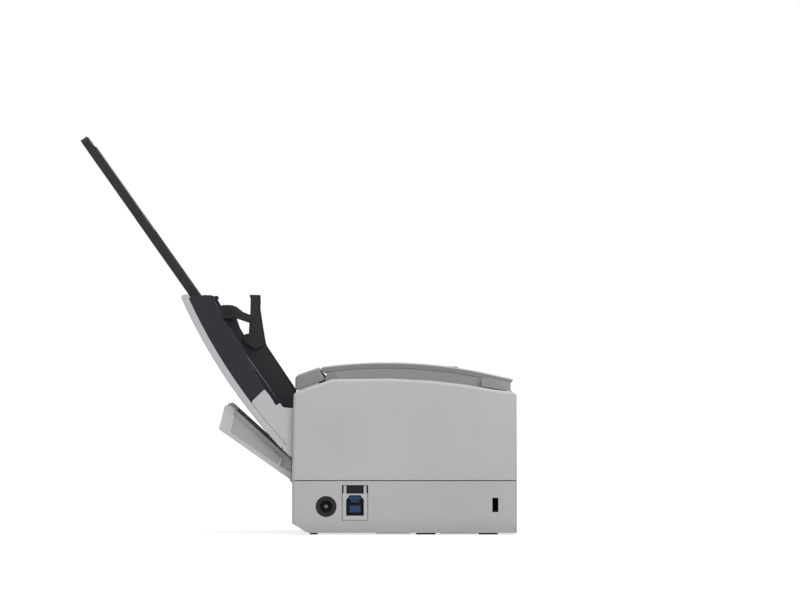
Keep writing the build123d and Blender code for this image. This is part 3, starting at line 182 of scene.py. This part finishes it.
def brushed_metal(name, colour, roughness, line_mm):
    """Plated metal: dull, with faint rolling lines that run from front to back."""
    material, tree, output = blank_material(name)
    place = add(tree, "ShaderNodeTexCoord").outputs["Object"]
    stretched = add(tree, "ShaderNodeMapping", {"Vector": place, "Scale": (1.0, LINE_STRETCH, 1.0)})
    lines = add(tree, "ShaderNodeTexNoise", {
        "Vector": stretched.outputs["Vector"], "Scale": per_metre(line_mm), "Detail": 2.0})
    gloss = add(tree, "ShaderNodeMapRange", {
        "Value": lines.outputs["Fac"], "From Min": NOISE_LOW, "From Max": NOISE_HIGH,
        "To Min": roughness - METAL_SMOOTHER, "To Max": roughness + METAL_ROUGHER})
    bump = add(tree, "ShaderNodeBump", {
        "Height": lines.outputs["Fac"], "Distance": LINE_HEIGHT_MM * MM, "Strength": LINE_STRENGTH})
    skin = add(tree, "ShaderNodeBsdfPrincipled", {
        "Base Color": linear(colour), "Metallic": 1.0, "Roughness": gloss.outputs["Result"],
        "Normal": bump.outputs["Normal"]})
    tree.links.new(skin.outputs["BSDF"], output.inputs["Surface"])
    return material


# Finishes. Grain sizes are in millimetres; the real pebbling is about 0.2 mm across, which is too fine
# to show, so it is drawn at about 0.9 mm.

# Casing and lid: moulded ABS, light neutral grey; the grain breaks the sheen into a soft, dry look
CASING_ABS = moulded_plastic("casing_abs", "#b3b3b3", 0.52, 0.9, 0.012)
BASE_ABS = moulded_plastic("base_abs", "#afafaf", 0.52, 0.9, 0.012)
LID_ABS = moulded_plastic("lid_abs", "#b5b6b8", 0.45, 0.9, 0.010)
DOOR_ABS = moulded_plastic("door_abs", "#bebfbf", 0.48, 0.9, 0.010)
# The sunk field on the door's side is a shade darker, with a coarser texture
DOOR_FIELD_ABS = moulded_plastic("door_field_abs", "#a9a9a9", 0.6, 1.1, 0.02)
DOOR_LINER_ABS = moulded_plastic("door_liner_abs", "#bcbcbc", 0.55, 0.9, 0.012)
# Top cover: mid grey ABS, the plate a little smoother than the block under it
POD_ABS = moulded_plastic("pod_abs", "#969696", 0.5, 0.9, 0.012)
UPPER_GUIDE_ABS = moulded_plastic("upper_guide_abs", "#9a9a9a", 0.5, 0.9, 0.012)
PLATE_ABS = moulded_plastic("top_plate_abs", "#848686", 0.35, 0.9, 0.006)
BUTTON_ABS = moulded_plastic("button_abs", "#a2a3a4", 0.3, 0.9, 0.003)
# Chute, guides and boards: near black ABS with a coarse dry texture that hardly shines
TRAY_ABS = moulded_plastic("tray_abs", "#1c1e24", 0.55, 0.9, 0.02, 0.06, 0.25)
GUIDE_ABS = moulded_plastic("guide_abs", "#1c1d21", 0.5, 0.9, 0.015, 0.05, 0.25)
EXTENSION_ABS = moulded_plastic("extension_abs", "#1f2022", 0.5, 0.9, 0.015, 0.05, 0.25)
INSIDE_ABS = moulded_plastic("inside_abs", "#1b1c1e", 0.6, 0.9, 0.012, 0.05, 0.3)
# Rubber: dull and almost black on the feet, a worn grey on the rollers
FOOT_RUBBER = moulded_plastic("foot_rubber", "#101010", 0.85, 0.9, 0.02, 0.05, 0.2)
ROLLER_RUBBER = moulded_plastic("roller_rubber", "#4c4c50", 0.75, 0.9, 0.02, 0.08, 0.3)
# Acetal gears: waxy, off white
GEAR_ACETAL = moulded_plastic("gear_acetal", "#cfccc2", 0.4, 0.9, 0.004)
LAMP_ACRYLIC = moulded_plastic("lamp_acrylic", "#d3d8dc", 0.15, 1.2, 0.001)
# Socket insulator: glossy dark blue; the cavity round it is painted near black, as the shade deep in it
USB_BLUE = moulded_plastic("usb_blue_pbt", "#0f3560", 0.4, 0.9, 0.002, 0.02, 0.3)
USB_CAVITY_SHADE = moulded_plastic("usb_cavity_painted_shade", "#0c111d", 0.5, 0.9, 0.002, 0.02, 0.2)
JACK_BLACK = moulded_plastic("jack_black_pbt", "#0b0b0c", 0.4, 0.9, 0.002, 0.03, 0.25)
BOARD_GREEN = moulded_plastic("board_green_enamel", "#1b4a2a", 0.4, 0.9, 0.004)
SENSOR_GLASS = moulded_plastic("sensor_glass", "#20282a", 0.06, 1.5, 0.0005)
# The frame plates: an even, dull mid grey where they show at the exit slit's ends
FRAME_GREY = moulded_plastic("frame_plate_grey", "#8e8e8e", 0.55, 0.9, 0.008)
# Zinc-plated sheet: cool grey with rolling lines; nickel: warmer and smoother on the shell, and painted darker
# and duller on the pin, as shade deep in the jack
ZINC_STEEL = brushed_metal("zinc_steel", "#a9abad", 0.38, 0.5)
NICKEL = brushed_metal("nickel_shell", "#8e8e8b", 0.34, 0.4)
JACK_PIN_SHADE = brushed_metal("jack_pin_nickel_shade", "#5a5a5c", 0.5, 0.4)

FINISHES = {
    "casing_grey": CASING_ABS, "lid_grey": LID_ABS, "mid_grey": POD_ABS, "plate_grey": PLATE_ABS,
    "tray_charcoal": TRAY_ABS, "guide_black": GUIDE_ABS, "inside_black": INSIDE_ABS,
    "foot_rubber": FOOT_RUBBER, "roller_rubber": ROLLER_RUBBER, "gear_white": GEAR_ACETAL,
    "zinc_steel": ZINC_STEEL, "nickel": NICKEL, "usb_blue": USB_BLUE, "sensor_glass": SENSOR_GLASS,
    "board_green": BOARD_GREEN, "lamp_white": LAMP_ACRYLIC,
}
# Nodes whose own shade differs a little from their finish in the record
OWN_FINISHES = {
    "frame_plate_left": FRAME_GREY, "frame_plate_right": FRAME_GREY,
    "base_casing": BASE_ABS, "upper_guide": UPPER_GUIDE_ABS,
    "rear_door": DOOR_ABS, "door_liner": DOOR_LINER_ABS, "extension_frame": EXTENSION_ABS,
    "extension_slider": EXTENSION_ABS, "power_button": BUTTON_ABS, "scan_button": BUTTON_ABS,
    "dc_jack": JACK_BLACK,
}


def finish_of(node):
    """The finish that the record gives a node."""
    for part in frame["record"]["subparts"]:
        if part["node"] == node:
            return part["material_slot"]


def dress(obj, material):
    """Gives an object one finish."""
    obj.data.materials.clear()
    obj.data.materials.append(material)


def dress_where(obj, material, chosen):
    """Gives a second finish to the faces whose corners all pass a test."""
    obj.data.materials.append(material)
    points = obj.data.vertices
    for face in obj.data.polygons:
        if all(chosen(points[corner].co) for corner in face.vertices):
            face.material_index = len(obj.data.materials) - 1


def body_of(node):
    """The body that a node belongs to."""
    return next(b for b, members in frame["record"]["behaviour"]["bodies"].items() if node in members)


# Edges sharper than these are shaded as edges, and rounded
SHARP_ANGLE = math.radians(40)
BEVEL_ANGLE = math.radians(35)


def rounded(piece, width_mm):
    """Rounds a piece's edges as a mould leaves them, and shades it smooth between them."""
    piece.data.shade_smooth()
    piece.data.set_sharp_from_angle(angle=SHARP_ANGLE)
    if width_mm:
        bevel = piece.modifiers.new("edges", "BEVEL")
        bevel.width = width_mm * MM
        bevel.segments = 2
        bevel.limit_method = "ANGLE"
        bevel.angle_limit = BEVEL_ANGLE
        bevel.miter_outer = "MITER_ARC"
        flats = piece.modifiers.new("flats", "WEIGHTED_NORMAL")
        flats.keep_sharp = True
        bpy.context.view_layer.update()
        depsgraph = bpy.context.evaluated_depsgraph_get()
        mesh = bpy.data.meshes.new_from_object(piece.evaluated_get(depsgraph))
        piece.modifiers.clear()
        piece.data = mesh


# The casing's sides draw in above this level, over this height, in so many steps, by this depth and on this
# curve; only points this near the outer face move, and a point this near a step's level is on it
TUCK_FOOT_MM = 0.75
TUCK_HEIGHT_MM = 8.5
TUCK_STEPS = 6
TUCK_DEPTH_MM = 1.1
TUCK_CURVE = 2.2
TUCK_WALL_MM = 0.3
ON_LEVEL_MM = 0.001


def tucked_under(shape):
    """Draws the casing's side walls in towards the floor, on a large round."""
    foot_z = TUCK_FOOT_MM * MM
    for i in range(1, TUCK_STEPS + 1):
        level = foot_z + (TUCK_HEIGHT_MM * MM) * i / TUCK_STEPS
        cut = shape.verts[:] + shape.edges[:] + shape.faces[:]
        bmesh.ops.bisect_plane(shape, geom=cut, plane_co=(0, 0, level), plane_no=(0, 0, 1),
                               dist=ON_LEVEL_MM * MM)
    for vertex in shape.verts:
        share = 1.0 - (vertex.co.z - foot_z) / (TUCK_HEIGHT_MM * MM)
        if share > 0 and abs(vertex.co.x) > -CASE_SIDE_X - TUCK_WALL_MM * MM:
            vertex.co.x -= math.copysign(TUCK_DEPTH_MM * MM * share ** TUCK_CURVE, vertex.co.x)


# Points closer than this are one point, and faces that meet flatter than this are one face
SAME_POINT_MM = 0.01
FLAT_ANGLE = math.radians(0.8)


def softened(node, width_mm, lift_foot_mm=0.0):
    """The node's own shape with its edges rounded as a mould leaves them; it stands for the node."""
    mesh = nodes[node].data.copy()
    shape = bmesh.new()
    shape.from_mesh(mesh)
    bmesh.ops.remove_doubles(shape, verts=shape.verts, dist=SAME_POINT_MM * MM)
    bmesh.ops.dissolve_limit(shape, angle_limit=FLAT_ANGLE, verts=shape.verts, edges=shape.edges)
    if node == "base_casing":
        tucked_under(shape)
    foot = min(vertex.co.z for vertex in shape.verts)
    for vertex in shape.verts:
        if vertex.co.z < foot + SAME_POINT_MM * MM:
            vertex.co.z += lift_foot_mm * MM
    shape.to_mesh(mesh)
    shape.free()
    piece = bpy.data.objects.new(node + "_moulded", mesh)
    bpy.context.scene.collection.objects.link(piece)
    rounded(piece, width_mm)
    dress(piece, OWN_FINISHES.get(node, FINISHES[finish_of(node)]))
    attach(piece, body_of(node))
    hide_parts(node)
    return piece


# How far the small pieces' edges are rounded
SMALL_EDGE_MM = 0.12


def slab(name, outline, x_low, x_high, body, material, edge_mm):
    """A moulded piece with one side outline, between two places across the width."""
    shape = bmesh.new()
    rings = [[shape.verts.new((x, y, z)) for y, z in outline] for x in (x_low, x_high)]
    shape.faces.new(rings[0])
    shape.faces.new(list(reversed(rings[1])))
    for i in range(len(outline)):
        j = (i + 1) % len(outline)
        shape.faces.new((rings[0][j], rings[0][i], rings[1][i], rings[1][j]))
    bmesh.ops.recalc_face_normals(shape, faces=shape.faces)
    mesh = bpy.data.meshes.new(name)
    shape.to_mesh(mesh)
    shape.free()
    piece = bpy.data.objects.new(name, mesh)
    bpy.context.scene.collection.objects.link(piece)
    rounded(piece, edge_mm)
    dress(piece, material)
    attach(piece, body)
    return piece


# How far each node's edges are rounded, in millimetres
SOFT_EDGES = {
    "base_casing": 0.25, "side_cover_right": 0.7, "side_cover_left": 0.7, "front_cover": 0.3, "side_wells": 0.2,
    "lid_skin": 0.4, "chute_tray": 0.3, "lid_arm_right": 0.5, "lid_arm_left": 0.5,
    "extension_frame": 0.3, "extension_slider": 0.5, "side_guide_right": 0.25, "side_guide_left": 0.25,
    "stacker_post_right": 0.5, "stacker_post_left": 0.5, "stacker_brace_right": 0.4, "stacker_brace_left": 0.4,
    "rear_door": 0.35, "door_liner": 0.2, "rear_pod": 0.5, "top_plate": 0.4, "upper_guide": 0.25,
    "rubber_feet": 0.25,
}
# The dark seam between the side covers and the base
SEAM_GAP_MM = 0.4
# How deep the door's field is sunk, and how near to that depth a corner of it has to be
DOOR_FIELD_MM = 0.5
DOOR_FIELD_NEAR_MM = 0.05
# How far the jack's axis is below the top of its block, and how far from that axis its pin reaches
JACK_AXIS_MM = 5.2
JACK_PIN_REACH_MM = 1.1


def dressed_nodes():
    """Gives every node its finish, and rounds the nodes whose edges show."""
    for name, obj in nodes.items():
        dress(obj, OWN_FINISHES.get(name, FINISHES[finish_of(name)]))
    for name, width in SOFT_EDGES.items():
        piece = softened(name, width, SEAM_GAP_MM if name.startswith("side_cover") else 0.0)
        if name == "rear_door":
            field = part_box(name)[1].x - DOOR_FIELD_MM * MM
            near = DOOR_FIELD_NEAR_MM * MM
            dress_where(piece, DOOR_FIELD_ABS, lambda corner: abs(abs(corner.x) - field) < near)
    low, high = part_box("dc_jack")
    axis = ((low.y + high.y) / 2, high.z - JACK_AXIS_MM * MM)
    reach = JACK_PIN_REACH_MM * MM
    # Painted shade: the jack's pin takes a darker, duller nickel, as it lies deep in the jack
    dress_where(nodes["dc_jack"], JACK_PIN_SHADE, lambda corner: math.dist((corner.y, corner.z), axis) < reach)


# Pieces that the solids leave out


# The square socket, in millimetres: its shell's wall, the half width inside that, and how its top corners
# are cut
SHELL_WALL = 0.6
MOUTH_HALF = 4.1
CORNER_RUN, CORNER_DROP = 1.8, 2.4
# Its lining: the room round it, how deep its back lies and how thick that is, how deep its sides start, and
# how far from the middle their two faces are
LINING_ROOM = 0.1
LINING_DEPTH, LINING_THICK, LINING_FRONT = 4.0, 2.0, 0.6
SIDE_LINING = (3.7, 4.15)
# Its upper block: the half width, how far its two faces are below the shell's inner top, how high its sides
# are, how deep its front lies, and how far its back sinks into the lining
BLOCK_HALF, BLOCK_SPAN, BLOCK_SIDE = 3.0, (2.2, 0.2), 1.0
BLOCK_FRONT, BLOCK_SUNK = 1.0, 0.1


def socket_blocks():
    """The lining of the square socket, painted near black as the shade deep in it, and the upper of the two
    blue blocks in it.
    """
    shell_low, shell_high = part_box("usb_socket")
    middle = ((shell_low.y + shell_high.y) / 2 - CASE_MIDDLE_Y) / MM
    low, high = shell_low.z / MM + SHELL_WALL, shell_high.z / MM - SHELL_WALL
    face = shell_low.x
    foot, shoulder, crown = low + LINING_ROOM, high - CORNER_DROP - LINING_ROOM, high - LINING_ROOM
    run = MOUTH_HALF - CORNER_RUN
    back = [at(middle - MOUTH_HALF, foot), at(middle + MOUTH_HALF, foot), at(middle + MOUTH_HALF, shoulder),
            at(middle + run, crown), at(middle - run, crown), at(middle - MOUTH_HALF, shoulder)]
    depth = face + LINING_DEPTH * MM
    # Painted shade: near black sheets at the back and the sides of the socket, where it is deep and dark
    slab("usb_shade_lining", back, depth, depth + LINING_THICK * MM, "casing", USB_CAVITY_SHADE,
         edge_mm=0.0)
    for side in (-1, 1):
        near, far = middle + side * SIDE_LINING[0], middle + side * SIDE_LINING[1]
        wall = [at(near, foot), at(far, foot), at(far, shoulder), at(near, shoulder)]
        slab(f"usb_shade_lining_side_{side + 1}", wall, face + LINING_FRONT * MM, depth, "casing", USB_CAVITY_SHADE,
             edge_mm=0.0)
    under, over = high - BLOCK_SPAN[0], high - BLOCK_SPAN[1]
    side_top = under + BLOCK_SIDE
    block = [at(middle - BLOCK_HALF, under), at(middle + BLOCK_HALF, under), at(middle + BLOCK_HALF, side_top),
             at(middle + run, over), at(middle - run, over), at(middle - BLOCK_HALF, side_top)]
    slab("usb_upper_block", block, face + BLOCK_FRONT * MM, depth + BLOCK_SUNK * MM, "casing", USB_BLUE,
         edge_mm=SMALL_EDGE_MM)


# The shield's half outline, in millimetres from its middle: its own half width, its prongs and the mouth
SHIELD_HALF, PRONG_OUTER, PRONG_INNER = 5.85, 5.35, 4.05
SHIELD_MOUTH, SHIELD_CROWN, SHIELD_CUT = 4.15, 2.75, 2.3
# Its shoulders, the floor of the gap between its prongs and the top of the mouth, all below its top, and the
# mouth's sill above its foot
SHIELD_STEP, SHIELD_GAP, SHIELD_ARCH, SHIELD_SILL = 3.6, 3.8, 4.5, 2.0
# How far its front and its rear face stand in front of the bezel that it replaces; how far behind that
# bezel's front its back, painted dark as shade, lies, and how far that reaches below the shoulders
SHIELD_PROUD, SHIELD_CLEAR = 0.25, 0.02
SHIELD_BACK, SHIELD_OVERLAP = (1.0, 2.6), 0.2


def socket_shield():
    """The shield round the square socket: two bent halves, open above it onto a back painted near black as
    shade.
    """
    low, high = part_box("usb_bezel")
    middle = ((low.y + high.y) / 2 - CASE_MIDDLE_Y) / MM
    foot, top = low.z / MM, high.z / MM
    step, gap, arch, sill = top - SHIELD_STEP, top - SHIELD_GAP, top - SHIELD_ARCH, foot + SHIELD_SILL
    half = [(0, foot), (SHIELD_HALF, foot), (SHIELD_HALF, step), (PRONG_OUTER, step), (PRONG_OUTER, top),
            (PRONG_INNER, top), (PRONG_INNER, gap), (0, gap), (0, arch), (SHIELD_CROWN, arch),
            (SHIELD_MOUTH, arch - SHIELD_CUT), (SHIELD_MOUTH, sill), (0, sill)]
    slot = finish_of("usb_bezel")
    for side, name in ((-1, "front"), (1, "rear")):
        outline = [at(middle + side * across, level) for across, level in half]
        shield = slab(f"usb_shield_{name}", outline, low.x - SHIELD_PROUD * MM, low.x - SHIELD_CLEAR * MM,
                      "casing", FINISHES[slot], edge_mm=0.0)
        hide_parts("usb_bezel")
    ends = (middle - SHIELD_HALF, middle + SHIELD_HALF)
    under = step - SHIELD_OVERLAP
    back = [at(ends[0], under), at(ends[1], under), at(ends[1], top), at(ends[0], top)]
    # Painted shade: a near black sheet behind the shield's opening above the socket
    slab("usb_shield_shade_back", back, low.x + SHIELD_BACK[0] * MM, low.x + SHIELD_BACK[1] * MM, "casing",
         USB_CAVITY_SHADE, edge_mm=0.0)


# The ribs, in millimetres: they end above the place where the closed chute comes down on the top plate
RIB_COUNT, RIB_SPACING = 9, 24.0
RIB_TOP, RIB_FOOT, RIB_SLOPE = -6.0, -38.0, 1.0
RIB_HALF, RIB_SUNK, RIB_PROUD = 0.7, 0.2, 0.24


def chute_ribs():
    """Low ribs down the chute, which keep the sheets from sticking to it."""
    under, over = CHUTE_FLOOR_DEPTH - RIB_SUNK, CHUTE_FLOOR_DEPTH + RIB_PROUD
    rib = [on_chute(RIB_TOP, under), on_chute(RIB_FOOT, under), on_chute(RIB_FOOT + RIB_SLOPE, over),
           on_chute(RIB_TOP - RIB_SLOPE, over)]
    for i in range(RIB_COUNT):
        x = (i - (RIB_COUNT - 1) / 2) * RIB_SPACING * MM
        slab(f"chute_rib_{i + 1}", rib, x - RIB_HALF * MM, x + RIB_HALF * MM, "lid", TRAY_ABS,
             edge_mm=SMALL_EDGE_MM)


# The room: the light that its walls give the object, and how white they look
ROOM_LIGHT = 0.68
ROOM_WHITE = 1.0
# The floor: its half width in metres, how far it lies below the feet, its own tone, and what it glows with
FLOOR_REACH = 20.0
FLOOR_DROP_MM = 0.2
FLOOR_TONE = 0.5
FLOOR_GLOW = 0.75
# The lamps: their size in metres and their power in watts
LAMP_SIZE = 1.4
OVERHEAD_POWER = 8.8
VIEWER_SIDE_POWER = 15.3


def studio():
    """A white room: the far wall shows as white, and the light is soft and even."""
    world = bpy.data.worlds.new("white_room")
    bpy.context.scene.world = world
    world.use_nodes = True
    tree = world.node_tree
    tree.nodes.clear()
    path = add(tree, "ShaderNodeLightPath")
    seen = add(tree, "ShaderNodeMath", {0: path.outputs["Is Camera Ray"], 1: path.outputs["Is Glossy Ray"]},
               operation="MAXIMUM")
    shown = add(tree, "ShaderNodeMath", {0: seen.outputs[0], 1: path.outputs["Is Transmission Ray"]},
                operation="MAXIMUM")
    strength = add(tree, "ShaderNodeMapRange", {
        "Value": shown.outputs[0], "To Min": ROOM_LIGHT, "To Max": ROOM_WHITE})
    sky = add(tree, "ShaderNodeBackground", {"Color": (1, 1, 1, 1), "Strength": strength.outputs["Result"]})
    add(tree, "ShaderNodeOutputWorld", {"Surface": sky.outputs["Background"]})


def floor():
    """The floor is white where nothing shades it, and keeps a faint shadow."""
    mesh = bpy.data.meshes.new("floor")
    corners = [(x * FLOOR_REACH, y * FLOOR_REACH, 0) for x, y in ((-1, -1), (1, -1), (1, 1), (-1, 1))]
    mesh.from_pydata(corners, [], [(0, 1, 2, 3)])
    plate = bpy.data.objects.new("floor", mesh)
    plate.location.z = -FLOOR_DROP_MM * MM
    bpy.context.scene.collection.objects.link(plate)
    material, tree, output = blank_material("white_floor")
    path = add(tree, "ShaderNodeLightPath")
    seen = add(tree, "ShaderNodeMath", {0: path.outputs["Is Camera Ray"], 1: path.outputs["Is Glossy Ray"]},
               operation="MAXIMUM")
    matt = add(tree, "ShaderNodeBsdfDiffuse", {"Color": (FLOOR_TONE, FLOOR_TONE, FLOOR_TONE, 1)})
    glow = add(tree, "ShaderNodeEmission", {"Color": (1, 1, 1, 1), "Strength": FLOOR_GLOW})
    both = add(tree, "ShaderNodeAddShader", {0: matt.outputs[0], 1: glow.outputs[0]})
    pick = add(tree, "ShaderNodeMixShader", {0: seen.outputs[0], 1: matt.outputs[0], 2: both.outputs[0]})
    tree.links.new(pick.outputs[0], output.inputs["Surface"])
    mesh.materials.append(material)


def lamp(name, place, aim, power):
    """A large soft square lamp."""
    data = bpy.data.lights.new(name, "AREA")
    data.shape = "RECTANGLE"
    data.size = LAMP_SIZE
    data.size_y = LAMP_SIZE
    data.energy = power
    light = bpy.data.objects.new(name, data)
    light.location = place
    light.rotation_euler = (Vector(aim) - Vector(place)).to_track_quat("-Z", "Y").to_euler()
    bpy.context.scene.collection.objects.link(light)


camera()
dressed_nodes()
socket_blocks()
socket_shield()
chute_ribs()
studio()
floor()
lamp("overhead", (0.0, CASE_MIDDLE_Y, 1.6), (0, CASE_MIDDLE_Y, 0), OVERHEAD_POWER)
lamp("viewer_side", (-1.8, CASE_MIDDLE_Y - 0.5, 0.9), (0, CASE_MIDDLE_Y, 0.05), VIEWER_SIDE_POWER)
bpy.context.scene.view_settings.view_transform = "Standard"
